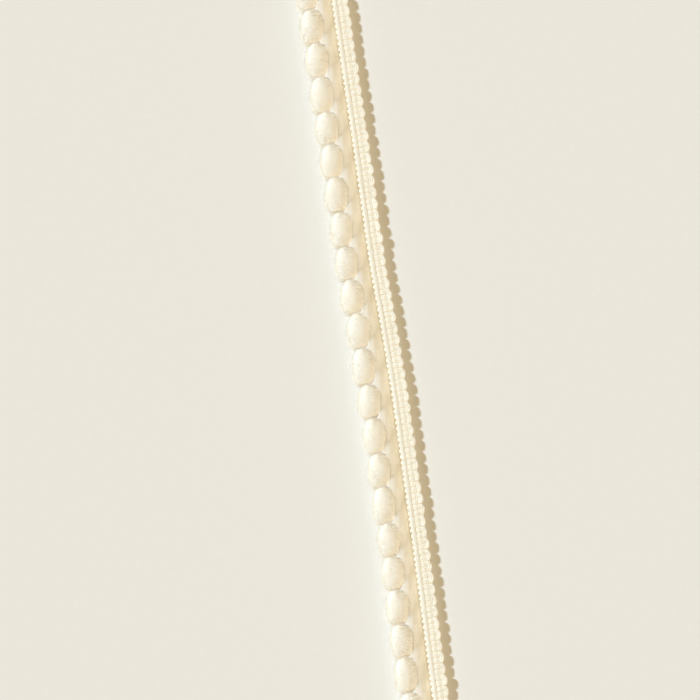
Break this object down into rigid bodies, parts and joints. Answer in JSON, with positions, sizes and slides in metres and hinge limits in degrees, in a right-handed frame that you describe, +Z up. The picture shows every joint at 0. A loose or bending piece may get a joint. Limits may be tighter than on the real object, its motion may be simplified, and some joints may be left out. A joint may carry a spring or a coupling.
{
  "type": "pompom fringe trim",
  "caption": "Narrow woven trim with a scalloped gimp heading and a row of small soft pompoms along one edge, for edging cushions, curtains and clothes.",
  "frame": {"origin": "under the middle of the trim's bounding box, on the surface it lies on", "axes": "+Y along the trim, +X from the pompoms towards the heading's scalloped edge, +Z up from the heading's flat back"},
  "size_m": [0.0128, 0.1802, 0.0046],
  "materials": {
    "gimp_yarn": "cream gimp braid of plied cotton-like yarn, matt with a faint sheen along the plies",
    "pile_yarn": "warm cream soft pile yarn, fluffy and matt"
  },
  "bodies": {
    "root": {"heading": "gimp_yarn", "neck_fringe": "pile_yarn", "pompom_01": "pile_yarn", "pompom_02": "pile_yarn", "pompom_03": "pile_yarn", "pompom_04": "pile_yarn", "pompom_05": "pile_yarn", "pompom_06": "pile_yarn", "pompom_07": "pile_yarn", "pompom_08": "pile_yarn", "pompom_09": "pile_yarn", "pompom_10": "pile_yarn", "pompom_11": "pile_yarn", "pompom_12": "pile_yarn", "pompom_13": "pile_yarn", "pompom_14": "pile_yarn", "pompom_15": "pile_yarn", "pompom_16": "pile_yarn", "pompom_17": "pile_yarn", "pompom_18": "pile_yarn", "pompom_19": "pile_yarn", "pompom_20": "pile_yarn", "pompom_21": "pile_yarn", "pompom_22": "pile_yarn"}
  },
  "joints": []
}
